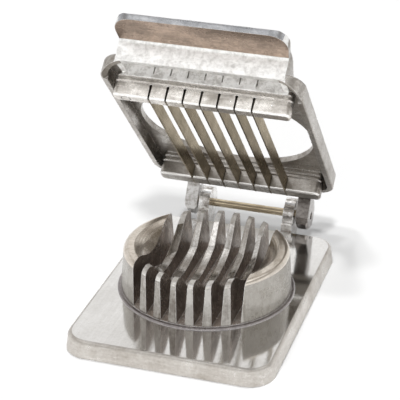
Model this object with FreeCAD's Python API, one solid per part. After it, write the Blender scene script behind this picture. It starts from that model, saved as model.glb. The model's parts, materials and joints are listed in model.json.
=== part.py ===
"""Cast aluminium egg slicer: a base with a slotted egg cup, and a hinged lid that carries seven blades.

World frame: X to the right, Y to the back, Z up, millimetres, origin on the ground under the middle
of the base.  Lid pieces are drawn in the lid's own frame, with the hinge pin at its origin, u forward
from the pin and w up when the lid is shut, and are then swung open about the pin.
"""
import FreeCAD
import Part
import math
import os

from FreeCAD import Rotation, Vector

# ---- driving dimensions ---------------------------------------------------------------------------

# base plate, a shallow tray turned upside down
BASE_WIDTH = 84.0
BASE_LENGTH = 115.4
BASE_HEIGHT = 7.1
BASE_CORNER = 10.5
BASE_DRAFT = 0.9
BASE_EDGE_ROUND = 1.5
BASE_WALL = 2.4
PLATE_THICKNESS = 2.5

# cutters run this far past what they cut, and edges are found to within NEAR
CLEAR = 5.0
NEAR = 1e-3

# egg cup
CUP_Y = 0.3
CUP_TOP = 25.5
CUP_FOOT_RADIUS = 34.9
CUP_TOP_RADIUS = 33.6
CUP_EDGE_ROUND = 2.2
FLANGE_RADIUS = 36.1
FLANGE_HEIGHT = 0.7
FLANGE_ROUND = 0.42
HOLLOW_BOTTOM = 12.0
HOLLOW_DISH_RADIUS = 18.4
HOLLOW_DISH_RISE = 3.4
HOLLOW_WALL_RADIUS = 25.6
HOLLOW_WALL_TOP = 23.3
HOLLOW_MOUTH_RADIUS = 29.2
MOUTH_ROLL_INSET = 1.5
MOUTH_ROLL_DROP = 0.65
SIDE_CORE_TOP = 18.8
SIDE_CORE_RADIUS = 31.0
SIDE_CORE_WALL = 2.4

# blades, and the slots that they pass through
BLADE_COUNT = 7
BLADE_PITCH = 6.83
BLADE_THICKNESS = 0.5
BLADE_DEPTH = 5.7
BLADE_REAR_INSET = 0.4
BLADE_FRONT_INSET = 1.2
SLOT_WIDTH_TOP = 4.8
SLOT_WIDTH_FLOOR = 3.3
SLOT_FLOOR = 8.0

# hinge
PIN_Y = 65.4
PIN_Z = 11.8
PIN_RADIUS = 1.75
PIN_CLEARANCE = 0.05
PIN_HALF_LENGTH = 27.2
PIN_CHAMFER = 0.3
LUG_INNER_X = 16.8
LUG_OUTER_X = 21.4
LUG_RADIUS = 6.9
LUG_LEDGE = 1.3
LUG_LEDGE_Z = 10.3
LUG_ROOT = 2.2
LUG_ROOT_TOP = 5.5
LUG_FOOT_Z = 1.0
LUG_FOOT_BACK = 1.0
LUG_BACK_ANGLE = 40.0
ARM_INNER_X = 22.4
ARM_OUTER_X = 28.0
ARM_APOTHEM = 6.1
ARM_FACETS = 12
ARM_FACET_TURN = 15.0
ARM_LEAN = 30.0
ARM_CHAMFER = 1.0
ARM_CHAMFER_DROP = 1.5
ARM_BEND = 7.5
ARM_SHOULDER = 5.0
OPEN_ANGLE = 45.9

# lid frame
LID_HALF_WIDTH = 40.1
LID_REAR_U = 17.0
LID_FRONT_U = 123.4
LID_CORNER = 9.5
LID_SKIRT_BOTTOM = 5.0
LID_TOP = 12.5
LID_WALL = 2.5
LID_TOP_ROUND = 1.8
LID_SKIRT_ROUND = 0.6
OPENING_RADIUS = 35.8
OPENING_U = 65.8

# bars that hold the blades
BAR_HALF_LENGTH = 35.3
REAR_BAR_U = (21.8, 29.0)
FRONT_BAR_U = (106.0, 111.4)
BAR_END_ROUND = 2.2
BAR_TIP_ROUND = 1.0
BAR_STEP = 0.7
BAR_STEP_W = 6.1
BAR_STEP_ROUND = 0.42
BAR_GROOVE_W = 7.9
BAR_GROOVE_RADIUS = 0.5
BLADE_SLOT_WIDTH = 0.7
SLOT_OVERCUT = 0.3
SLOT_END_RADIUS = 0.55
SLOT_END_DEPTH = 1.0
SLOT_END_W = 5.3
NICK_WIDTH = 0.5
NICK_BOTTOM_W = 10.1
EJECTOR_X = -30.0
EJECTOR_RADIUS = 2.0
EJECTOR_GROOVE = 0.35
WIRE_RADIUS = 0.8
WIRE_W = 3.3
WIRE_HALF_LENGTH = 24.0

# handle
HANDLE_HALF_WIDTH = 33.5
HANDLE_ROOT_U = 103.0
HANDLE_ROOT_W = 11.9
HANDLE_FOOT_W = 10.2
HANDLE_SLOPE_U = 111.5
HANDLE_SLOPE_W = 16.3
HANDLE_CREST_U = 117.4
HANDLE_CREST_W = 19.9
POCKET_ROOT_W = 14.1
POCKET_CREST_U = 116.9
POCKET_CREST_W = 17.2
FRONT_SKIRT_BOTTOM = 9.2
NOTCH_LOW_X = 39.1
NOTCH_MIDDLE_X = 35.5
NOTCH_MIDDLE_W = 7.6
NOTCH_HIGH_X = 28.5
NOTCH_BACK = 2.0
RIDGE_W = 17.7
RIDGE_ROUND = 1.1
RIDGE_HALF_WIDTH = 33.2
LIP_ROOT_U = 124.4
LIP_ROOT_W = 21.3
LIP_TIP_U = 136.4
LIP_TIP_W = 20.4
LIP_HALF_WIDTH = 34.6
LIP_THICKNESS = 2.9
LIP_CORNER = 7.0
LIP_ROUND = 0.9

X_AXIS = Vector(1, 0, 0)
Y_AXIS = Vector(0, 1, 0)
Z_AXIS = Vector(0, 0, 1)
BLADE_XS = [(i - (BLADE_COUNT - 1) / 2) * BLADE_PITCH for i in range(BLADE_COUNT)]


# ---- helpers --------------------------------------------------------------------------------------

def box(x0, x1, y0, y1, z0, z1):
    """Box between two corners."""
    return Part.makeBox(x1 - x0, y1 - y0, z1 - z0, Vector(x0, y0, z0))


def lid_box(x0, x1, u0, u1, w0, w1):
    """Box in the lid's frame, where u runs along -Y."""
    return box(x0, x1, -u1, -u0, w0, w1)


def rounded_outline(corners, z):
    """Closed wire through corners of (x, y, radius), at height z, with a tangent arc at each round one."""
    starts = []
    ends = []
    edges = []
    for i, (x, y, radius) in enumerate(corners):
        corner = Vector(x, y, z)
        before = (Vector(*corners[i - 1][:2], z) - corner).normalize()
        after = (Vector(*corners[(i + 1) % len(corners)][:2], z) - corner).normalize()
        half_angle = before.getAngle(after) / 2
        inward = (before + after).normalize()
        setback = radius / math.tan(half_angle)
        starts.append(corner + before * setback)
        ends.append(corner + after * setback)
        if radius > 0:
            middle = corner + inward * (radius / math.sin(half_angle) - radius)
            edges.append(Part.Arc(starts[-1], middle, ends[-1]).toShape())
    for i, end in enumerate(ends):
        edges.append(Part.LineSegment(end, starts[(i + 1) % len(starts)]).toShape())
    return Part.Wire(Part.__sortEdges__(edges))


def rounded_rectangle(half_x, y0, y1, radius, z):
    """Closed wire of a rectangle with round corners, at height z."""
    corners = [(half_x, y0), (half_x, y1), (-half_x, y1), (-half_x, y0)]
    return rounded_outline([(x, y, radius) for x, y in corners], z)


def rounded_block(half_x, y0, y1, radius, z0, z1):
    """Prism with round vertical edges."""
    face = Part.Face(rounded_rectangle(half_x, y0, y1, radius, z0))
    return face.extrude(Vector(0, 0, z1 - z0))


def side_profile(points, x0, x1):
    """Polygon of (y, z) points, extruded along X from x0 to x1."""
    corners = [Vector(x0, y, z) for y, z in points]
    face = Part.Face(Part.makePolygon(corners + corners[:1]))
    return face.extrude(Vector(x1 - x0, 0, 0))


def lid_profile(points, x0, x1):
    """Polygon of (u, w) points, extruded along X from x0 to x1."""
    return side_profile([(-u, w) for u, w in points], x0, x1)


def rod_x(radius, y, z, x0, x1):
    """Round rod along X."""
    return Part.makeCylinder(radius, x1 - x0, Vector(x0, y, z), X_AXIS)


def edges_where(shape, test):
    """Edges whose points all satisfy test(point)."""
    chosen = []
    for edge in shape.Edges:
        points = edge.discretize(5)
        if all(test(point) for point in points):
            chosen.append(edge)
    return chosen


def swing_open(shape):
    """Put a lid piece on the hinge pin, with the lid at its resting angle."""
    placed = shape.copy()
    placed.rotate(Vector(0, 0, 0), X_AXIS, -OPEN_ANGLE)
    placed.translate(Vector(0, PIN_Y, PIN_Z))
    return placed


# ---- base -----------------------------------------------------------------------------------------

def base_plate():
    """Upside-down tray with drafted walls and a round top edge."""
    half_x = BASE_WIDTH / 2
    half_y = BASE_LENGTH / 2
    foot = rounded_rectangle(half_x, -half_y, half_y, BASE_CORNER, 0)
    top_y = half_y - BASE_DRAFT
    shoulder = rounded_rectangle(half_x - BASE_DRAFT, -top_y, top_y, BASE_CORNER - BASE_DRAFT, BASE_HEIGHT)
    plate = Part.makeLoft([foot, shoulder], True, True)
    top_edges = edges_where(plate, lambda p: abs(p.z - BASE_HEIGHT) < NEAR)
    plate = plate.makeFillet(BASE_EDGE_ROUND, top_edges)
    inset = BASE_WALL + BASE_DRAFT
    in_y = half_y - inset
    under = BASE_HEIGHT - PLATE_THICKNESS
    cavity = rounded_block(half_x - inset, -in_y, in_y, BASE_CORNER - inset, -CLEAR, under)
    return plate.cut(cavity)


def cup_body():
    """Drafted round cup on a low flange, with a round outer edge at the top."""
    under = BASE_HEIGHT - PLATE_THICKNESS
    centre = Vector(0, CUP_Y, under)
    height = CUP_TOP - under
    cup = Part.makeCone(CUP_FOOT_RADIUS, CUP_TOP_RADIUS, height, centre)
    rim = edges_where(cup, lambda p: abs(p.z - CUP_TOP) < NEAR)
    cup = cup.makeFillet(CUP_EDGE_ROUND, rim)
    flange_top = BASE_HEIGHT + FLANGE_HEIGHT
    flange = Part.makeCylinder(FLANGE_RADIUS, flange_top - under, centre)
    flange_rim = edges_where(flange, lambda p: abs(p.z - flange_top) < NEAR)
    return cup.fuse(flange.makeFillet(FLANGE_ROUND, flange_rim))


def hollow():
    """Round dish that the egg lies in: a shallow bottom, a steep wall and a rolled-over mouth."""
    dish_curve = (HOLLOW_DISH_RADIUS**2 + HOLLOW_DISH_RISE**2) / (2 * HOLLOW_DISH_RISE)
    half_way = HOLLOW_DISH_RADIUS / 2
    half_rise = dish_curve - math.sqrt(dish_curve**2 - half_way**2)
    bottom = Vector(0, 0, HOLLOW_BOTTOM)
    half_chord = Vector(half_way, 0, HOLLOW_BOTTOM + half_rise)
    dish_edge = Vector(HOLLOW_DISH_RADIUS, 0, HOLLOW_BOTTOM + HOLLOW_DISH_RISE)
    wall_top = Vector(HOLLOW_WALL_RADIUS, 0, HOLLOW_WALL_TOP)
    roll = Vector(HOLLOW_MOUTH_RADIUS - MOUTH_ROLL_INSET, 0, CUP_TOP - MOUTH_ROLL_DROP)
    mouth = Vector(HOLLOW_MOUTH_RADIUS, 0, CUP_TOP)
    mouth_above = Vector(HOLLOW_MOUTH_RADIUS, 0, CUP_TOP + CLEAR)
    axis_above = Vector(0, 0, CUP_TOP + CLEAR)
    edges = [
        Part.Arc(bottom, half_chord, dish_edge).toShape(),
        Part.LineSegment(dish_edge, wall_top).toShape(),
        Part.Arc(wall_top, roll, mouth).toShape(),
        Part.LineSegment(mouth, mouth_above).toShape(),
        Part.LineSegment(mouth_above, axis_above).toShape(),
        Part.LineSegment(axis_above, bottom).toShape(),
    ]
    dish = Part.Face(Part.Wire(edges)).revolve(Vector(0, 0, 0), Z_AXIS, 360)
    dish.translate(Vector(0, CUP_Y, 0))
    return dish


def blade_slot(x):
    """Tapered slot right through the cup, wider at the top, centred on one blade."""
    top = CUP_TOP + CLEAR
    rise = (SLOT_WIDTH_TOP - SLOT_WIDTH_FLOOR) / 2 * (top - SLOT_FLOOR) / (CUP_TOP - SLOT_FLOOR)
    half_floor = SLOT_WIDTH_FLOOR / 2
    reach = FLANGE_RADIUS + CLEAR
    corners = [
        Vector(x - half_floor, CUP_Y - reach, SLOT_FLOOR),
        Vector(x + half_floor, CUP_Y - reach, SLOT_FLOOR),
        Vector(x + half_floor + rise, CUP_Y - reach, top),
        Vector(x - half_floor - rise, CUP_Y - reach, top),
    ]
    face = Part.Face(Part.makePolygon(corners + corners[:1]))
    return face.extrude(Vector(0, 2 * reach, 0))


def side_core(side):
    """Pocket cored from below into the thick side of the cup."""
    round_core = Part.makeCylinder(SIDE_CORE_RADIUS, SIDE_CORE_TOP + CLEAR, Vector(0, CUP_Y, -CLEAR))
    inner_x = BLADE_XS[-1] + SLOT_WIDTH_TOP / 2 + SIDE_CORE_WALL
    half = box(inner_x, BASE_WIDTH, -BASE_LENGTH, BASE_LENGTH, -CLEAR, SIDE_CORE_TOP)
    if side < 0:
        half = half.mirror(Vector(0, 0, 0), X_AXIS)
    return round_core.common(half)


def hinge_lug(side):
    """Round-topped lug behind the base, with its foot on the rear wall."""
    x0, x1 = sorted((side * LUG_INNER_X, side * LUG_OUTER_X))
    rear = BASE_LENGTH / 2
    back = math.radians(LUG_BACK_ANGLE)
    foot = side_profile(
        [
            (rear - LUG_ROOT, LUG_FOOT_Z),
            (rear - LUG_ROOT, LUG_ROOT_TOP),
            (rear - LUG_LEDGE, BASE_HEIGHT),
            (rear - LUG_LEDGE, LUG_LEDGE_Z),
            (PIN_Y - LUG_RADIUS, LUG_LEDGE_Z),
            (PIN_Y - LUG_RADIUS, PIN_Z),
            (PIN_Y, PIN_Z),
            (PIN_Y + LUG_RADIUS * math.cos(back), PIN_Z - LUG_RADIUS * math.sin(back)),
            (PIN_Y + LUG_FOOT_BACK, LUG_FOOT_Z),
        ],
        x0,
        x1,
    )
    lug = foot.fuse(rod_x(LUG_RADIUS, PIN_Y, PIN_Z, x0, x1))
    return lug.removeSplitter()


def base_casting():
    """Plate, cup and lugs are one casting."""
    body = base_plate().fuse(cup_body())
    body = body.cut(hollow())
    for x in BLADE_XS:
        body = body.cut(blade_slot(x))
    for side in (-1, 1):
        body = body.cut(side_core(side))
        body = body.fuse(hinge_lug(side))
    bore = rod_x(PIN_RADIUS, PIN_Y, PIN_Z, -LUG_OUTER_X - CLEAR, LUG_OUTER_X + CLEAR)
    return body.cut(bore).removeSplitter()


# ---- lid ------------------------------------------------------------------------------------------

def lid_frame():
    """Shallow cover with a skirt all round, open underneath, with the round opening for the cup."""
    cover = rounded_block(
        LID_HALF_WIDTH, -LID_FRONT_U, -LID_REAR_U, LID_CORNER, LID_SKIRT_BOTTOM, LID_TOP
    )
    top_edges = edges_where(cover, lambda p: abs(p.z - LID_TOP) < NEAR)
    cover = cover.makeFillet(LID_TOP_ROUND, top_edges)
    foot_edges = edges_where(cover, lambda p: abs(p.z - LID_SKIRT_BOTTOM) < NEAR)
    cover = cover.makeFillet(LID_SKIRT_ROUND, foot_edges)
    inside = rounded_block(
        LID_HALF_WIDTH - LID_WALL,
        -LID_FRONT_U + LID_WALL,
        -LID_REAR_U - LID_WALL,
        LID_CORNER - LID_WALL,
        LID_SKIRT_BOTTOM - CLEAR,
        LID_TOP - LID_WALL,
    )
    cover = cover.cut(inside)
    opening = Part.makeCylinder(OPENING_RADIUS, LID_TOP + CLEAR, Vector(0, -OPENING_U, 0))
    return cover.cut(front_notch()).cut(opening)


def front_notch():
    """Cutter that sweeps the skirt up round the front corners, so that it is higher under the handle."""
    low = Vector(NOTCH_LOW_X, 0, LID_SKIRT_BOTTOM)
    middle = Vector(NOTCH_MIDDLE_X, 0, NOTCH_MIDDLE_W)
    high = Vector(NOTCH_HIGH_X, 0, FRONT_SKIRT_BOTTOM)
    left_low, left_middle, left_high = [Vector(-p.x, 0, p.z) for p in (low, middle, high)]
    sweep = Part.Wire(
        [
            Part.Arc(low, middle, high).toShape(),
            Part.LineSegment(high, left_high).toShape(),
            Part.Arc(left_high, left_middle, left_low).toShape(),
            Part.LineSegment(left_low, low).toShape(),
        ]
    )
    back_u = FRONT_BAR_U[1] + NOTCH_BACK
    notch = Part.Face(sweep).extrude(Vector(0, back_u - LID_FRONT_U - CLEAR, 0))
    notch.translate(Vector(0, -back_u, 0))
    return notch


def blade_bar(u_span):
    """Bar across the lid, with a step on its front face and round ends."""
    u0, u1 = u_span
    bar = rounded_block(BAR_HALF_LENGTH, -u1, -u0, BAR_END_ROUND, 0, LID_TOP - 1)
    tip_edges = edges_where(bar, lambda p: abs(p.z) < NEAR)
    bar = bar.makeFillet(BAR_TIP_ROUND, tip_edges)
    step = rounded_block(BAR_HALF_LENGTH, -u1 - BAR_STEP, -u0, BAR_END_ROUND, BAR_STEP_W, LID_TOP - 1)
    lower_edges = edges_where(step, lambda p: abs(p.z - BAR_STEP_W) < NEAR and p.y < -u1)
    step = step.makeFillet(BAR_STEP_ROUND, lower_edges)
    groove = rod_x(BAR_GROOVE_RADIUS, -u1 - BAR_STEP, BAR_GROOVE_W, -BAR_HALF_LENGTH, BAR_HALF_LENGTH)
    return bar.fuse(step).cut(groove)


def handle():
    """Raised front of the lid that runs out into the finger lip, and the pocket under it."""
    skirt_in = LID_FRONT_U - LID_WALL
    bar_front = FRONT_BAR_U[1] + BAR_STEP
    lip_top_w = LIP_TIP_W + LIP_THICKNESS
    outline = [
        (HANDLE_ROOT_U, HANDLE_ROOT_W),
        (HANDLE_SLOPE_U, HANDLE_SLOPE_W),
        (HANDLE_CREST_U, HANDLE_CREST_W),
        (LIP_ROOT_U, LIP_ROOT_W),
        (LIP_TIP_U, lip_top_w),
        (LIP_TIP_U, LIP_TIP_W),
        (LID_FRONT_U, RIDGE_W),
        (LID_FRONT_U, FRONT_SKIRT_BOTTOM),
        (skirt_in, FRONT_SKIRT_BOTTOM),
        (HANDLE_ROOT_U, HANDLE_FOOT_W),
    ]
    block = lid_profile(outline, -LIP_HALF_WIDTH, LIP_HALF_WIDTH)
    ridge = edges_where(block, lambda p: math.hypot(p.y + LID_FRONT_U, p.z - RIDGE_W) < NEAR)
    block = block.makeFillet(RIDGE_ROUND, ridge)
    lip_top = edges_where(block, lambda p: math.hypot(p.y + LIP_TIP_U, p.z - lip_top_w) < NEAR)
    block = block.makeFillet(LIP_ROUND, lip_top)
    pocket = lid_profile(
        [
            (bar_front, LID_SKIRT_BOTTOM),
            (bar_front, POCKET_ROOT_W),
            (POCKET_CREST_U, POCKET_CREST_W),
            (skirt_in, POCKET_CREST_W),
            (skirt_in, LID_SKIRT_BOTTOM),
        ],
        -HANDLE_HALF_WIDTH + LID_WALL,
        HANDLE_HALF_WIDTH - LID_WALL,
    )
    return block.common(handle_plan()), pocket


def handle_plan():
    """The handle from above: straight sides, a slight waist at the ridge, and a lip that flares a little."""
    right = [
        (HANDLE_HALF_WIDTH, CLEAR - FRONT_BAR_U[0], 0),
        (HANDLE_HALF_WIDTH, -LID_FRONT_U + LID_WALL, 0),
        (RIDGE_HALF_WIDTH, -LID_FRONT_U, 0),
        (LIP_HALF_WIDTH, -LIP_TIP_U, LIP_CORNER),
    ]
    left = [(-x, y, radius) for x, y, radius in reversed(right)]
    plan = Part.Face(rounded_outline(right + left, 0))
    return plan.extrude(Vector(0, 0, LIP_TIP_W + LIP_THICKNESS + CLEAR))


def hinge_arm(side):
    """Arm from the rear of the lid down to the pin, with a faceted end."""
    x0, x1 = sorted((side * ARM_INNER_X, side * ARM_OUTER_X))
    corner_radius = ARM_APOTHEM / math.cos(math.pi / ARM_FACETS)
    turn = math.radians(OPEN_ANGLE + ARM_FACET_TURN)
    knuckle = [
        (
            corner_radius * math.cos(2 * math.pi * i / ARM_FACETS - turn),
            corner_radius * math.sin(2 * math.pi * i / ARM_FACETS - turn),
        )
        for i in range(ARM_FACETS)
    ]
    end = lid_profile(knuckle, x0, x1)
    downward = Vector(0, math.sin(math.radians(OPEN_ANGLE)), -math.cos(math.radians(OPEN_ANGLE)))
    low_edges = edges_where(
        end, lambda p: min(abs(p.x - x0), abs(p.x - x1)) < NEAR and p.dot(downward) > ARM_CHAMFER_DROP
    )
    end = end.makeChamfer(ARM_CHAMFER, low_edges)
    lean = math.radians(ARM_LEAN - OPEN_ANGLE)
    front = Vector(math.cos(lean), 0, math.sin(lean)) * ARM_APOTHEM
    bend = front + Vector(-math.sin(lean), 0, math.cos(lean)) * ARM_BEND
    crown = knuckle[ARM_FACETS // 2]
    shank = lid_profile(
        [
            (0, 0),
            (front.x, front.z),
            (bend.x, bend.z),
            (LID_REAR_U + LID_WALL, LID_SKIRT_BOTTOM + LID_WALL),
            (LID_REAR_U + LID_WALL, LID_TOP),
            (LID_REAR_U - ARM_SHOULDER, LID_TOP),
            crown,
        ],
        x0,
        x1,
    )
    return end.fuse(shank)


def slot_cutters(u_span):
    """Blade slots, the drilled hole for the wire and an ejector mark, for one bar."""
    u0, u1 = u_span
    half = BLADE_SLOT_WIDTH / 2
    start = u0 - SLOT_OVERCUT
    end = u1 + SLOT_OVERCUT
    cutters = [lid_box(x - half, x + half, start, end, -CLEAR, BLADE_DEPTH) for x in BLADE_XS]
    middle = Vector(0, -(u0 + u1) / 2, 0)
    cutters.append(rod_x(WIRE_RADIUS, middle.y, WIRE_W, -BAR_HALF_LENGTH - CLEAR, WIRE_HALF_LENGTH))
    mark_at = middle + X_AXIS * EJECTOR_X
    mark = Part.makeCylinder(EJECTOR_RADIUS, EJECTOR_GROOVE, mark_at)
    cutters.append(mark.cut(Part.makeCylinder(EJECTOR_RADIUS - EJECTOR_GROOVE, EJECTOR_GROOVE, mark_at)))
    return cutters


def front_face_cutters(x):
    """Drilled end of a blade slot, and the nick above it, on the front bar's face."""
    step_face = FRONT_BAR_U[1] + BAR_STEP
    centre = Vector(x, -step_face, SLOT_END_W)
    slot_end = Part.makeCylinder(SLOT_END_RADIUS, SLOT_END_DEPTH + BAR_STEP, centre, Y_AXIS)
    half = NICK_WIDTH / 2
    back = step_face - NICK_WIDTH
    nick = lid_box(x - half, x + half, back, step_face + SLOT_OVERCUT, NICK_BOTTOM_W, POCKET_ROOT_W)
    return [slot_end, nick]


def lid_casting():
    """Frame, bars, handle and arms are one casting."""
    grip, pocket = handle()
    body = lid_frame().fuse([blade_bar(REAR_BAR_U), blade_bar(FRONT_BAR_U), grip])
    body = body.cut(pocket)
    for side in (-1, 1):
        body = body.fuse(hinge_arm(side))
    cutters = [rod_x(PIN_RADIUS + PIN_CLEARANCE, 0, 0, -ARM_OUTER_X - CLEAR, ARM_OUTER_X + CLEAR)]
    for u_span in (REAR_BAR_U, FRONT_BAR_U):
        cutters += slot_cutters(u_span)
    for x in BLADE_XS:
        cutters += front_face_cutters(x)
    for cutter in cutters:
        body = body.cut(cutter)
    return body.removeSplitter()


def blade(x):
    """Flat blade with a hole near each end for the retaining wires."""
    half = BLADE_THICKNESS / 2
    rear_end = REAR_BAR_U[0] + BLADE_REAR_INSET
    front_end = FRONT_BAR_U[1] - BLADE_FRONT_INSET
    strip = lid_box(x - half, x + half, rear_end, front_end, 0, BLADE_DEPTH)
    for u0, u1 in (REAR_BAR_U, FRONT_BAR_U):
        strip = strip.cut(rod_x(WIRE_RADIUS, -(u0 + u1) / 2, WIRE_W, x - CLEAR, x + CLEAR))
    return strip


def blade_wire(u_span):
    """Steel wire that threads the blade ends inside a bar."""
    return rod_x(WIRE_RADIUS, -sum(u_span) / 2, WIRE_W, -WIRE_HALF_LENGTH, WIRE_HALF_LENGTH)


def hinge_pin():
    """Plain pin, pressed into the base lugs."""
    pin = rod_x(PIN_RADIUS, PIN_Y, PIN_Z, -PIN_HALF_LENGTH, PIN_HALF_LENGTH)
    return pin.makeChamfer(PIN_CHAMFER, edges_where(pin, lambda p: abs(abs(p.x) - PIN_HALF_LENGTH) < NEAR))


# ---- output ---------------------------------------------------------------------------------------

parts = {
    "base_casting": base_casting(),
    "hinge_pin": hinge_pin(),
    "lid_casting": swing_open(lid_casting()),
    "front_blade_wire": swing_open(blade_wire(FRONT_BAR_U)),
    "rear_blade_wire": swing_open(blade_wire(REAR_BAR_U)),
}
for number, blade_x in enumerate(BLADE_XS, start=1):
    parts[f"blade_{number}"] = swing_open(blade(blade_x))

os.makedirs("parts", exist_ok=True)
for name, shape in parts.items():
    shape.exportStep(f"parts/{name}.step")
    print(f"{name}: {len(shape.Solids)} solid, {shape.Volume / 1000:.2f} cm3, valid {shape.isValid()}")
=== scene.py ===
import json
import math

import bpy
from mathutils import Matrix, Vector

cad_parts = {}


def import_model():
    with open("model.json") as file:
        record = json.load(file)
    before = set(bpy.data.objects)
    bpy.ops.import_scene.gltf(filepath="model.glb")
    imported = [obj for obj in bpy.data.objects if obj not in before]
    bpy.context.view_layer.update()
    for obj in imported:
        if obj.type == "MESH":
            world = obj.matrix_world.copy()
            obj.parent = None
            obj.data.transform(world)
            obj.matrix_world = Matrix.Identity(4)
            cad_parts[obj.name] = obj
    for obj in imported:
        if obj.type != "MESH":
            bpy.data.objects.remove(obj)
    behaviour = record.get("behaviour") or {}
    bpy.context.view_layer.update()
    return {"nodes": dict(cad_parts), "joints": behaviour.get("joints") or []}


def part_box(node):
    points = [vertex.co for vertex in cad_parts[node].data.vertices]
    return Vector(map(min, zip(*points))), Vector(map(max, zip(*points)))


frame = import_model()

# The camera, fitted to the photograph: metres, radians, and millimetres for its lens and sensor.
CAMERA_AT = (0.164301, -0.551053, 0.330193)
CAMERA_TURN = (1.1118, -0.0089, 0.2991)
CAMERA_LENS = 145.219
CAMERA_SENSOR = 36.0
CAMERA_NEAR, CAMERA_FAR = 0.05, 20.0

# The lid's own directions at rest: along it towards the finger lip, and out of its top.
PIN = Vector(frame["joints"][0]["pos_m"])
OPEN_ANGLE = math.radians(45.9)
ALONG_LID = Vector((0, -math.cos(OPEN_ANGLE), math.sin(OPEN_ANGLE)))
OUT_OF_LID = Vector((0, math.sin(OPEN_ANGLE), math.cos(OPEN_ANGLE)))
LID_TURN = (OPEN_ANGLE, 0, 0)

# The dull strip of plate between the hinge lugs, in metres: its front, the lugs' middle, and its soft edge.
STRIP_Y, LUG_MIDDLE_X, STRIP_FADE = 0.044, 0.019, 0.003
STRIP_ROUGHNESS = 0.42

MM = 1000.0  # millimetres in a metre
CUP_MIDDLE_Y_MM = 0.3


def middle_x_mm(node):
    low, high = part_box(node)
    return MM * (low[0] + high[0]) / 2


BLADES = sorted(name for name in frame["nodes"] if name.startswith("blade_"))
# The blades that get the darker steel: painted shade on the blades that stand in shade.
SHADED_BLADES = ("blade_3", "blade_5", "blade_6")
WIRES = ("front_blade_wire", "rear_blade_wire")
BLADE_XS_MM = [middle_x_mm(name) for name in BLADES]


# ---------------------------------------------------------------- node helpers

# The blend values between which a metal goes from its highest roughness to its lowest.
SHINE_SPREAD = (0.35, 0.65)
# The cosines between a face and its rounded edge at which a face counts as all edge, and as no edge.
ALL_EDGE, NO_EDGE = 0.86, 0.985
EDGE_SAMPLES, CORNER_SAMPLES = 6, 8
# Scratches: how often they break along their length, the size of their patches, and the patches' soft edge.
SCRATCH_ALONG, SCRATCH_PATCHES, SCRATCH_PATCH_EDGE = 45.0, 110, 0.06


class Nodes:
    """A node tree, and the textures and sums that the looks are made of. Texture scales are per metre."""

    def __init__(self, tree, coords):
        self.tree = tree
        self.coords = tree.nodes.new("ShaderNodeTexCoord").outputs[coords]

    def link(self, source, target):
        self.tree.links.new(source, target)

    def feed(self, socket, value):
        """Gives a socket another socket's value, a colour or a number."""
        if isinstance(value, bpy.types.NodeSocket):
            self.link(value, socket)
        elif isinstance(value, tuple):
            socket.default_value = (*value, 1)
        else:
            socket.default_value = value

    def mapped(self, vector, setting, amounts):
        """The vector through a mapping node with one setting, "Rotation" or "Scale"."""
        node = self.tree.nodes.new("ShaderNodeMapping")
        node.inputs[setting].default_value = amounts
        self.link(vector, node.inputs["Vector"])
        return node.outputs["Vector"]

    def part(self, axis):
        """The coordinates' "X", "Y" or "Z"."""
        node = self.tree.nodes.new("ShaderNodeSeparateXYZ")
        self.link(self.coords, node.inputs[0])
        return node.outputs[axis]

    def noise(self, scale, detail=3.0, rough=0.5, vector=None, distortion=0.0):
        node = self.tree.nodes.new("ShaderNodeTexNoise")
        node.inputs["Scale"].default_value = scale
        node.inputs["Detail"].default_value = detail
        node.inputs["Roughness"].default_value = rough
        node.inputs["Distortion"].default_value = distortion
        self.link(vector or self.coords, node.inputs["Vector"])
        return node.outputs["Fac"]

    def ramp(self, value, stops):
        """A colour that changes with value, through stops of (place, colour or grey)."""
        node = self.tree.nodes.new("ShaderNodeValToRGB")
        elements = node.color_ramp.elements
        while len(elements) < len(stops):
            elements.new(0.5)
        for element, (place, colour) in zip(elements, stops):
            element.position = place
            if isinstance(colour, (int, float)):
                colour = (colour, colour, colour)
            element.color = (*colour, 1)
        self.link(value, node.inputs["Fac"])
        return node.outputs["Color"]

    def maths(self, operation, a, b=0.0):
        node = self.tree.nodes.new("ShaderNodeMath")
        node.operation = operation
        for socket, value in zip(node.inputs, (a, b)):
            self.feed(socket, value)
        return node.outputs[0]

    def blend(self, *shares):
        """The sum of values, each given as (value, share)."""
        parts = [self.maths("MULTIPLY", value, share) for value, share in shares]
        total = parts[0]
        for part in parts[1:]:
            total = self.maths("ADD", total, part)
        return total

    def mix(self, factor, a, b):
        node = self.tree.nodes.new("ShaderNodeMix")
        node.data_type = "RGBA"
        colour_a = [s for s in node.inputs if s.name == "A" and s.type == "RGBA"][0]
        colour_b = [s for s in node.inputs if s.name == "B" and s.type == "RGBA"][0]
        for socket, value in ((node.inputs[0], factor), (colour_a, a), (colour_b, b)):
            self.feed(socket, value)
        return [s for s in node.outputs if s.type == "RGBA"][0]


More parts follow.
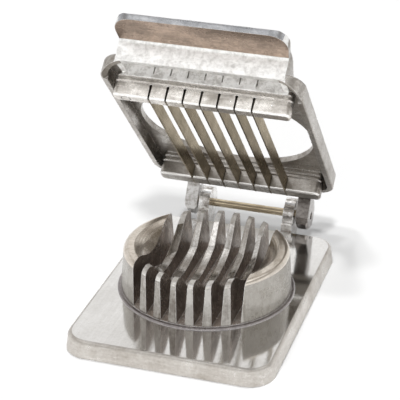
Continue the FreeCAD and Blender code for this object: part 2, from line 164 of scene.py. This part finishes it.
class Paint(Nodes):
    """A procedural material: a Principled shader with object coordinates, in metres, turned by turn."""

    def __init__(self, name, metallic=1.0, turn=(0, 0, 0)):
        self.material = bpy.data.materials.new(name)
        self.material.use_nodes = True
        self.material.node_tree.nodes.clear()
        super().__init__(self.material.node_tree, "Object")
        self.coords = self.mapped(self.coords, "Rotation", turn)
        self.bsdf = self.tree.nodes.new("ShaderNodeBsdfPrincipled")
        self.bsdf.inputs["Metallic"].default_value = metallic
        out = self.tree.nodes.new("ShaderNodeOutputMaterial")
        self.link(self.bsdf.outputs[0], out.inputs["Surface"])

    def streaks(self, scales, detail, rough):
        """Noise with its own scale in each direction, so that it runs in streaks."""
        return self.noise(1.0, detail, rough, self.mapped(self.coords, "Scale", scales))

    def shine(self, value, roughness):
        """From the higher of two roughnesses where value is low to the lower one where it is high."""
        low, high = roughness
        return self.ramp(value, ((SHINE_SPREAD[0], high), (SHINE_SPREAD[1], low)))

    def scratches(self, turn, across, width, share):
        """1 on fine sparse scratches that run along the turned Y direction, else 0."""
        turned = self.mapped(self.coords, "Rotation", turn)
        scaled = self.mapped(turned, "Scale", (across, SCRATCH_ALONG, across))
        field = self.noise(1.0, detail=1, vector=scaled)
        off_line = self.maths("ABSOLUTE", self.maths("SUBTRACT", field, 0.5))
        line = self.ramp(off_line, ((0.0, 1.0), (width, 0.0)))
        patches = self.noise(SCRATCH_PATCHES, detail=2)
        patch = self.ramp(patches, ((share, 0.0), (share + SCRATCH_PATCH_EDGE, 1.0)))
        return self.maths("MULTIPLY", line, patch)

    def between_lugs(self):
        """1 on the strip of plate between the hinge lugs, where a polishing wheel can't reach, else 0."""
        from_start = self.maths("SUBTRACT", self.part("Y"), STRIP_Y)
        behind = self.ramp(from_start, ((0.0, 0.0), (STRIP_FADE, 1.0)))
        from_lug = self.maths("SUBTRACT", self.maths("ABSOLUTE", self.part("X")), LUG_MIDDLE_X)
        inside = self.ramp(from_lug, ((0.0, 1.0), (STRIP_FADE, 0.0)))
        return self.maths("MULTIPLY", behind, inside)

    def hollows(self, distance):
        """1 in the open, towards 0 in corners and slots narrower than distance."""
        node = self.tree.nodes.new("ShaderNodeAmbientOcclusion")
        node.inputs["Distance"].default_value = distance
        node.samples = CORNER_SAMPLES
        return node.outputs["AO"]

    def edges(self, radius):
        """The normal with every edge rounded to radius, and a mask that is 1 on the edges."""
        soft = self.tree.nodes.new("ShaderNodeBevel")
        soft.samples = EDGE_SAMPLES
        soft.inputs["Radius"].default_value = radius
        plain = self.tree.nodes.new("ShaderNodeNewGeometry")
        dot = self.tree.nodes.new("ShaderNodeVectorMath")
        dot.operation = "DOT_PRODUCT"
        self.link(soft.outputs["Normal"], dot.inputs[0])
        self.link(plain.outputs["Normal"], dot.inputs[1])
        mask = self.ramp(dot.outputs["Value"], ((ALL_EDGE, 1.0), (NO_EDGE, 0.0)))
        return soft.outputs["Normal"], mask

    def bump(self, height, depth, under=None):
        """The normal of a skin as deep as depth, on top of the normal under it."""
        node = self.tree.nodes.new("ShaderNodeBump")
        node.inputs["Strength"].default_value = 1.0
        node.inputs["Distance"].default_value = depth
        self.link(height, node.inputs["Height"])
        if under is not None:
            self.link(under, node.inputs["Normal"])
        return node.outputs["Normal"]

    def finish(self, colour, roughness, normal=None):
        self.feed(self.bsdf.inputs["Base Color"], colour)
        self.feed(self.bsdf.inputs["Roughness"], roughness)
        if normal is not None:
            self.link(normal, self.bsdf.inputs["Normal"])
        return self.material


# ---------------------------------------------------------------- the castings' finishes

# A casting's texture scales, per metre, and the share of each texture in its colour.
SPECK_SCALE, STREAK_SCALE, SKIN_SCALE, DENT_SCALE = 900, 900, 2600, 260
CLOUD_SHARE, SPECK_SHARE, STREAK_SHARE = 0.5, 0.25, 0.25
# How deep its streaks and dents are, next to its grain.
STREAK_DEPTH, DENT_DEPTH = 1.5, 4
SCRATCH_COLOUR, SCRATCH_STRENGTH = (0.9, 0.88, 0.85), 0.8
# How open a place has to be to be free of the painted shade in corners.
UNSHADED = 0.8


def cast_metal(name, light, dark, shine, metallic=1.0, turn=(0, 0, 0), grain=0.00002, patches=55,
               streak=(1, 1, 1), spread=(0.38, 0.60), corner=None, corner_reach=0.008, corner_share=0.8,
               edge=(0.93, 0.92, 0.90), edge_share=0.6, edge_radius=0.0004, scratch=None,
               scratch_across=1900.0, scratch_width=0.012, scratch_share=0.56, dull_strip=False):
    """Cast aluminium, cloudy and streaked from dark to light.

    shine is its lowest and highest roughness, grain the depth of its skin in metres, patches the scale of its
    clouds, streak the streaks' scale in each direction, and spread where in the blend it goes from dark to
    light. corner is the colour of painted shade in corners no wider than corner_reach, edge the colour
    painted on edges (a painted highlight where light, painted shade where dark), scratch the turn of its
    scratches, and dull_strip says that the plate between the lugs is dull.
    """
    p = Paint(name, metallic=metallic, turn=turn)
    cloud = p.noise(patches, detail=4, rough=0.6, distortion=0.4)
    speck = p.noise(SPECK_SCALE, detail=3, rough=0.65)
    streaks = p.streaks(tuple(STREAK_SCALE * s for s in streak), detail=4, rough=0.6)
    blend = p.blend((cloud, CLOUD_SHARE), (speck, SPECK_SHARE), (streaks, STREAK_SHARE))
    middle = tuple((a + b) / 2 for a, b in zip(light, dark))
    colour = p.ramp(blend, ((spread[0], dark), (sum(spread) / 2, middle), (spread[1], light)))
    rough = p.shine(blend, shine)
    if scratch is not None:
        cuts = p.scratches(scratch, scratch_across, scratch_width, scratch_share)
        colour = p.mix(p.maths("MULTIPLY", cuts, SCRATCH_STRENGTH), colour, SCRATCH_COLOUR)
    if dull_strip:
        rough = p.mix(p.between_lugs(), rough, (STRIP_ROUGHNESS,) * 3)
    # Painted shade: corners and slots narrower than corner_reach go towards the colour corner.
    if corner is not None:
        painted_corner_shade = p.ramp(p.hollows(corner_reach), ((0.0, corner_share), (UNSHADED, 0.0)))
        colour = p.mix(painted_corner_shade, colour, corner)
    # Colour painted on edges: a painted highlight where edge is light, painted shade where it is dark.
    rounded, painted_edge = p.edges(edge_radius)
    colour = p.mix(p.maths("MULTIPLY", painted_edge, edge_share), colour, edge)
    skin = p.bump(p.noise(SKIN_SCALE, detail=2, rough=0.6), grain, rounded)
    skin = p.bump(streaks, grain * STREAK_DEPTH, skin)
    skin = p.bump(p.noise(DENT_SCALE, detail=2), grain * DENT_DEPTH, skin)
    return p.finish(colour, rough, skin)


# In these tables corner is the colour of painted shade in corners; a light edge is a painted highlight, a
# dark one painted shade.
BASE_FINISHES = {
    "plate_polished": dict(
        light=(0.93, 0.925, 0.915), dark=(0.80, 0.79, 0.77), shine=(0.05, 0.13), grain=0.000003,
        patches=38, streak=(1, 0.06, 1), scratch=(0, 0, 0.5), dull_strip=True),
    "cup_satin": dict(
        light=(0.45, 0.43, 0.395), dark=(0.28, 0.255, 0.22), shine=(0.20, 0.34), metallic=0.97,
        grain=0.000014, patches=60, streak=(1, 1, 0.15), corner=(0.10, 0.085, 0.08),
        corner_reach=0.003, corner_share=0.6, scratch=(0, 0.5, 0.9)),
    "plate_edge_satin": dict(
        light=(0.68, 0.65, 0.61), dark=(0.43, 0.39, 0.345), shine=(0.24, 0.38), metallic=0.95,
        grain=0.000014, patches=50, streak=(0.2, 0.2, 1), scratch=(0, 0, 1.4)),
    "fin_front": dict(
        light=(0.55, 0.53, 0.50), dark=(0.20, 0.172, 0.147), shine=(0.12, 0.22), grain=0.00001,
        patches=40, streak=(1, 1, 0.08), spread=(0.38, 0.56), scratch=(0.9, 0, 0)),
    # Its dark edge colour is painted shade along the edges of the fins' tops.
    "fin_top": dict(
        light=(0.84, 0.82, 0.79), dark=(0.30, 0.262, 0.225), shine=(0.08, 0.18), grain=0.000008,
        patches=26, streak=(1.5, 0.05, 0.05), spread=(0.37, 0.55), edge=(0.20, 0.165, 0.14),
        edge_share=0.75, edge_radius=0.0005, scratch=(0.2, 0, 0.1)),
    "fin_tip_worn": dict(
        light=(0.88, 0.86, 0.83), dark=(0.42, 0.385, 0.345), shine=(0.28, 0.42), metallic=0.9,
        grain=0.00001, patches=120, streak=(1, 0.3, 0.3), edge_share=0.0),
    "hollow_bright": dict(
        light=(0.94, 0.875, 0.79), dark=(0.62, 0.55, 0.47), shine=(0.14, 0.24), grain=0.000008,
        patches=34, streak=(0.3, 0.3, 0.3), spread=(0.32, 0.68), corner=(0.14, 0.11, 0.09),
        corner_reach=0.0025),
    # Darker than the rest of the cup: painted shade on the slots' walls and floors.
    "slot_shaded": dict(
        light=(0.48, 0.41, 0.355), dark=(0.20, 0.16, 0.133), shine=(0.22, 0.36), metallic=0.8,
        grain=0.00001, patches=150, streak=(1, 1, 0.12), corner=(0.15, 0.117, 0.10),
        corner_reach=0.009, corner_share=0.6, scratch=(0.9, 0, 0), scratch_across=800.0,
        scratch_width=0.03, scratch_share=0.44),
    "flange_dull": dict(
        light=(0.44, 0.405, 0.40), dark=(0.26, 0.235, 0.235), shine=(0.24, 0.36), grain=0.00001,
        patches=80, edge_share=0.25),
    "lug_polished": dict(
        light=(1.0, 0.99, 0.975), dark=(0.48, 0.445, 0.41), shine=(0.08, 0.18), metallic=0.85,
        grain=0.000008, patches=180, streak=(0.6, 1, 0.15), spread=(0.44, 0.54),
        corner=(0.16, 0.13, 0.115), corner_reach=0.0015),
    "underside_cast": dict(
        light=(0.60, 0.59, 0.57), dark=(0.42, 0.40, 0.38), shine=(0.42, 0.58), grain=0.00004),
}

LID_FINISHES = {
    "lid_satin": dict(
        light=(0.54, 0.515, 0.48), dark=(0.28, 0.25, 0.22), shine=(0.22, 0.38), metallic=0.93,
        grain=0.000016, patches=75, streak=(0.2, 1, 1), spread=(0.40, 0.60),
        corner=(0.15, 0.12, 0.10), corner_reach=0.005, corner_share=0.2, scratch=(0, 0, 1.2)),
    # A darker copy of lid_satin: painted shade on the sideways-facing walls inside the lid.
    "lid_wall_satin": dict(
        light=(0.50, 0.475, 0.44), dark=(0.19, 0.162, 0.137), shine=(0.22, 0.36), metallic=0.85,
        grain=0.000016, patches=80, streak=(1, 0.1, 1), spread=(0.42, 0.58),
        corner=(0.15, 0.12, 0.10), corner_reach=0.004, corner_share=0.12),
    "lid_front_cast": dict(
        light=(0.90, 0.895, 0.88), dark=(0.56, 0.55, 0.53), shine=(0.32, 0.48), metallic=0.75,
        grain=0.00003, patches=300, streak=(0.6, 1, 1), spread=(0.35, 0.56)),
    "lid_band_cast": dict(
        light=(0.98, 0.97, 0.95), dark=(0.60, 0.58, 0.55), shine=(0.4, 0.55), metallic=0.12,
        grain=0.00004, patches=260, streak=(0.6, 1, 1), spread=(0.42, 0.55)),
    # Its tan-brown is a painted reflection of the tan base below, on the downward face under the lip.
    "lip_underside": dict(
        light=(0.50, 0.385, 0.305), dark=(0.235, 0.183, 0.148), shine=(0.2, 0.34),
        grain=0.000014, patches=80, streak=(0.2, 1, 1)),
    "lip_edge_ground": dict(
        light=(0.60, 0.605, 0.62), dark=(0.34, 0.345, 0.36), shine=(0.2, 0.32),
        grain=0.00001, patches=90, streak=(0.06, 1, 1)),
    # A lighter copy of the lid's satin metal, on the front bar only: painted light, as the rear bar is the
    # same metal.
    "blade_bar_satin": dict(
        light=(0.92, 0.885, 0.84), dark=(0.44, 0.405, 0.365), shine=(0.2, 0.36), metallic=0.9,
        grain=0.000014, patches=130, streak=(0.15, 1, 1), corner=(0.12, 0.10, 0.085),
        corner_reach=0.0015),
    # Lighter than the bars: a painted highlight on their rounded tips.
    "blade_bar_tip": dict(
        light=(0.96, 0.95, 0.93), dark=(0.72, 0.70, 0.67), shine=(0.16, 0.26), metallic=0.7,
        grain=0.00001, patches=130, streak=(0.1, 1, 1)),
    "slot_shadow": dict(
        light=(0.10, 0.085, 0.075), dark=(0.045, 0.036, 0.03), shine=(0.4, 0.5), edge_share=0.0),
    # A lit copy and a shaded copy of one arm metal: painted highlight on the left arm, painted shade on the
    # right.
    "arm_lit": dict(
        light=(1.0, 0.995, 0.99), dark=(0.55, 0.52, 0.49), shine=(0.08, 0.18), metallic=0.6,
        grain=0.000008, patches=200, streak=(0.6, 0.15, 1), spread=(0.42, 0.54)),
    "arm_shaded": dict(
        light=(0.40, 0.375, 0.355), dark=(0.13, 0.112, 0.10), shine=(0.14, 0.26), metallic=0.95,
        grain=0.00001, patches=160, streak=(0.6, 0.15, 1), spread=(0.40, 0.58)),
}


# ---------------------------------------------------------------- which face has which finish

def over(low):
    return low, math.inf


def under(high):
    return -math.inf, high


# A face has the finish of the first rule whose limits it is all inside, and the last rule has no limits.
# base_measures and lid_measures say what is measured.
CUP_HEIGHT = over(7.9)
BASE_RULES = (
    ("underside_cast", dict(height=under(6.5), up=under(-0.3))),
    ("flange_dull", dict(height=(7.0, 8.0), from_middle=(34.3, 36.4))),
    # The slots' walls and floors get the darker finish, as painted shade.
    ("slot_shaded", dict(height=CUP_HEIGHT, from_middle=under(34.5), side=under(24.5), sideways=over(0.9))),
    ("slot_shaded", dict(height=(7.9, 9.0), from_middle=under(34.4))),
    ("fin_front", dict(height=CUP_HEIGHT, from_middle=under(39), side=under(23), up=under(0.35))),
    ("fin_top", dict(height=CUP_HEIGHT, from_middle=under(25.5), side=under(23))),
    ("fin_tip_worn", dict(height=CUP_HEIGHT, from_middle=under(39), side=under(23))),
    ("hollow_bright", dict(height=CUP_HEIGHT, from_middle=under(39), up=over(0.35))),
    ("cup_satin", dict(height=CUP_HEIGHT, from_middle=under(39))),
    ("lug_polished", dict(back=over(56), side=(16.6, 21.6))),
    ("plate_polished", dict(height=over(6.9), up=over(0.995))),
    ("plate_edge_satin", dict(height=under(7.2))),
    ("cup_satin", dict()),
)

FRONT_BAR, REAR_BAR = (105.9, 112.2), (21.7, 29.8)
BLADE_SLOT = dict(out=under(6.0), side=under(25), from_blade=under(0.6))
BAR_TIP = dict(out=under(1.2), side=under(35.4), forward=over(0.2), down=over(0.2))
LID_RULES = (
    ("lip_edge_ground", dict(along=over(134), forward=over(0.5))),
    ("lip_underside", dict(along=over(124.5), down=over(0.5))),
    ("lid_front_cast", dict(along=over(121), side=under(33.6), forward=over(0.15), down=over(-0.1))),
    ("lid_front_cast", dict(along=over(120.4), out=under(9.8), side=under(31), down=over(0.5))),
    ("lid_band_cast", dict(along=(111.8, 121), out=over(8.3), side=under(33), forward=over(-0.99),
                           down=over(-0.5))),
    ("slot_shadow", dict(along=FRONT_BAR, **BLADE_SLOT)),
    ("slot_shadow", dict(along=REAR_BAR, **BLADE_SLOT)),
    ("blade_bar_tip", dict(along=FRONT_BAR, **BAR_TIP)),
    ("blade_bar_tip", dict(along=REAR_BAR, **BAR_TIP)),
    # Only the front bar gets the lighter copy, as painted light; the rear bar keeps lid_satin.
    ("blade_bar_satin", dict(along=FRONT_BAR, out=under(8.5), side=under(35.4))),
    # The left arm gets the lit copy as painted highlight, the right arm the shaded copy as painted shade.
    ("arm_lit", dict(along=under(16), x=under(0), down=over(-0.6))),
    ("arm_shaded", dict(along=under(16), down=over(-0.6))),
    ("lid_wall_satin", dict(along=over(16), side=under(38.5), sideways=over(0.7))),
    ("lid_satin", dict()),
)


def base_measures(centre, normal):
    """Where a face of the base is, in millimetres, and how squarely it faces up and sideways: 1 is fully.

    side is its distance from the plane of symmetry, and from_middle its distance from the cup's middle.
    """
    x, y, z = (MM * c for c in centre)
    return dict(side=abs(x), back=y, height=z, from_middle=math.hypot(x, y - CUP_MIDDLE_Y_MM),
                up=normal.z, sideways=abs(normal.x))


def lid_measures(centre, normal):
    """Where a face of the lid is, in millimetres from the pin, and how squarely it faces three ways.

    along and forward are towards the finger lip, out is out of the lid's top, and down is the other way. side
    is its distance from the plane of symmetry, and from_blade from the middle of the nearest blade.
    """
    x = MM * centre.x
    return dict(x=x, side=abs(x), from_blade=min(abs(x - blade_x) for blade_x in BLADE_XS_MM),
                along=MM * (centre - PIN).dot(ALONG_LID), out=MM * (centre - PIN).dot(OUT_OF_LID),
                forward=normal.dot(ALONG_LID), down=-normal.dot(OUT_OF_LID), sideways=abs(normal.x))


def first_finish(rules, measures):
    """The finish of the first rule that the measures keep to."""
    for finish, limits in rules:
        if all(low < measures[name] < high for name, (low, high) in limits.items()):
            return finish


def paint_faces(node, materials, slot_of=lambda face: 0):
    """Gives a CAD node its materials, and each of its faces the one in the slot that slot_of says."""
    mesh = frame["nodes"][node].data
    mesh.materials.clear()
    for material in materials:
        mesh.materials.append(material)
    for face in mesh.polygons:
        face.material_index = slot_of(face)


def paint_casting(node, finishes, rules, measures_of, turn=(0, 0, 0)):
    slots = {finish: slot for slot, finish in enumerate(finishes)}
    materials = [cast_metal(finish, turn=turn, **look) for finish, look in finishes.items()]
    paint_faces(node, materials,
                lambda face: slots[first_finish(rules, measures_of(face.center, face.normal))])


# ---------------------------------------------------------------- blades, pin and wires

# Light and dark of each metal, and its lowest and highest roughness.
TAN_STEEL = ((0.38, 0.342, 0.282), (0.20, 0.174, 0.137))
# A darker copy of the tan steel: painted shade for the blades in shade.
SHADED_STEEL = ((0.24, 0.21, 0.168), (0.11, 0.092, 0.07))
# The blades' roughness, and the colour of painted shade along their edges.
BLADE_SHINE, BLADE_EDGE_SHADE = (0.22, 0.36), (0.09, 0.07, 0.052)
BLADE_GRAZING_TINT = (0.80, 0.74, 0.64)
BRASS, BRASS_SHINE = ((0.84, 0.735, 0.55), (0.52, 0.42, 0.29)), (0.14, 0.24)
WIRE, WIRE_SHINE = (0.62, 0.40), (0.25, 0.4)
# Texture scales, per metre: fine across the metal and coarse along it.
BLADE_BRUSHING, PIN_DRAWING = (2500, 60, 2500), (14, 700, 700)


def blade_steel(name, light, dark):
    """Steel brushed along the blade, with painted shade darkening its edges."""
    p = Paint(name, turn=LID_TURN)
    p.feed(p.bsdf.inputs["Specular Tint"], BLADE_GRAZING_TINT)
    brushed = p.streaks(BLADE_BRUSHING, detail=5, rough=0.7)
    cloud = p.noise(90, detail=3, rough=0.6)
    blend = p.blend((brushed, 0.5), (cloud, 0.5))
    colour = p.ramp(blend, ((0.38, dark), (0.60, light)))
    rounded, painted_edge = p.edges(radius=0.0002)
    colour = p.mix(p.maths("MULTIPLY", painted_edge, 0.6), colour, BLADE_EDGE_SHADE)
    return p.finish(colour, p.shine(blend, BLADE_SHINE), p.bump(brushed, 0.000006, rounded))


def pin_brass(name, light, dark):
    """Brass drawn along the pin."""
    p = Paint(name)
    drawn = p.streaks(PIN_DRAWING, detail=3, rough=0.5)
    cloud = p.noise(120, detail=3, rough=0.6)
    blend = p.blend((drawn, 0.35), (cloud, 0.65))
    colour = p.ramp(blend, ((0.36, dark), (0.62, light)))
    return p.finish(colour, p.shine(blend, BRASS_SHINE), p.bump(drawn, 0.000003))


def wire_steel(name, light, dark):
    """Mottled grey steel. Only the wires' ends show."""
    p = Paint(name)
    cloud = p.noise(300, detail=3, rough=0.6)
    return p.finish(p.ramp(cloud, ((0.35, dark), (0.65, light))), p.shine(cloud, WIRE_SHINE))


# ---------------------------------------------------------------- the studio

# The tent that the metal reflects: the sine of the height above the horizon, and the colour there.
TENT = (
    (0.00, (0.88, 0.88, 0.88)),
    (0.36, (0.92, 0.92, 0.92)),
    (0.50, (0.80, 0.79, 0.78)),
    (0.64, (0.40, 0.375, 0.35)),
    (0.76, (0.60, 0.59, 0.58)),
    (0.85, (1.30, 1.30, 1.30)),
    (0.91, (1.00, 1.00, 1.00)),
    (0.96, (0.36, 0.37, 0.39)),
    (1.00, (0.30, 0.31, 0.33)),
)
# Its walls' strength goes between the last two of these as the noise on them goes between the first two.
WALLS_SCALE, WALLS_DETAIL = 2.2, 2.0
WALLS = (("From Min", 0.35), ("From Max", 0.65), ("To Min", 0.75), ("To Max", 1.10))

# Name, place, size and watts. Small far lamps throw the photo's shadows, and a near card fills the front.
LAMPS = (
    ("key_left", (-0.55, -1.85, 3.12), (0.26, 0.26), 64.0),
    ("key_left_high", (-0.52, -1.04, 3.12), (0.26, 0.26), 46.0),
    ("key_right", (0.48, -2.52, 3.12), (0.26, 0.26), 148.0),
    ("key_back", (0.0, 0.80, 3.12), (0.26, 0.26), 76.0),
    ("front_card", (0.10, -1.30, 0.45), (1.0, 0.6), 9.0),
)
LAMPS_AIM_AT = Vector((0, 0, 0.04))

# The floor is a pale sweep, a little paler towards the back: y plus the offset, in metres, and its grey.
FLOOR_SIZE, FLOOR_ROUGHNESS, FLOOR_SPECULAR = 8.0, 0.9, 0.15
FLOOR_OFFSET = 0.2
FLOOR_GREYS = ((0.10, 0.414), (0.55, 0.478))


def floor():
    bpy.ops.mesh.primitive_plane_add(size=FLOOR_SIZE, location=(0, 0, 0))
    plane = bpy.context.object
    plane.name = "studio_floor"
    p = Paint("floor_pale", metallic=0.0)
    p.bsdf.inputs["Specular IOR Level"].default_value = FLOOR_SPECULAR
    sweep = p.ramp(p.maths("ADD", p.part("Y"), FLOOR_OFFSET), FLOOR_GREYS)
    plane.data.materials.append(p.finish(sweep, FLOOR_ROUGHNESS))


def area_light(name, place, size, power):
    """A lamp aimed at the object, which doesn't show in reflections."""
    data = bpy.data.lights.new(name, "AREA")
    data.shape = "RECTANGLE"
    data.size, data.size_y = size
    data.energy = power
    lamp = bpy.data.objects.new(name, data)
    bpy.context.scene.collection.objects.link(lamp)
    lamp.location = place
    lamp.rotation_euler = (LAMPS_AIM_AT - Vector(place)).to_track_quat("-Z", "Y").to_euler()
    lamp.visible_glossy = False


def world():
    """A light tent with soft uneven walls, which is seen in reflections but lights nothing else."""
    made = bpy.data.worlds.new("studio_light")
    bpy.context.scene.world = made
    made.use_nodes = True
    made.cycles_visibility.diffuse = False
    sky = Nodes(made.node_tree, "Generated")
    background = [n for n in made.node_tree.nodes if n.type == "BACKGROUND"][0]
    sky.link(sky.ramp(sky.part("Z"), TENT), background.inputs["Color"])
    uneven = made.node_tree.nodes.new("ShaderNodeMapRange")
    for setting, value in WALLS:
        uneven.inputs[setting].default_value = value
    sky.link(sky.noise(WALLS_SCALE, WALLS_DETAIL), uneven.inputs["Value"])
    sky.link(uneven.outputs["Result"], background.inputs["Strength"])


def camera():
    data = bpy.data.cameras.new("camera")
    data.sensor_width = CAMERA_SENSOR
    data.lens = CAMERA_LENS
    data.clip_start, data.clip_end = CAMERA_NEAR, CAMERA_FAR
    made = bpy.data.objects.new("camera", data)
    made.location = CAMERA_AT
    made.rotation_euler = CAMERA_TURN
    bpy.context.scene.collection.objects.link(made)
    bpy.context.scene.camera = made


paint_casting("base_casting", BASE_FINISHES, BASE_RULES, base_measures)
paint_casting("lid_casting", LID_FINISHES, LID_RULES, lid_measures, turn=LID_TURN)
tan_steel = blade_steel("blade_steel_tan", *TAN_STEEL)
# A darker copy of the same steel, as painted shade.
shaded_steel = blade_steel("blade_steel_shaded", *SHADED_STEEL)
brass = pin_brass("pin_brass_drawn", *BRASS)
wire = wire_steel("wire_steel_plain", *WIRE)
for name in BLADES:
    paint_faces(name, [shaded_steel if name in SHADED_BLADES else tan_steel])
for name in WIRES:
    paint_faces(name, [wire])
paint_faces("hinge_pin", [brass])

floor()
for lamp in LAMPS:
    area_light(*lamp)
world()
camera()
bpy.context.scene.view_settings.view_transform = "Standard"
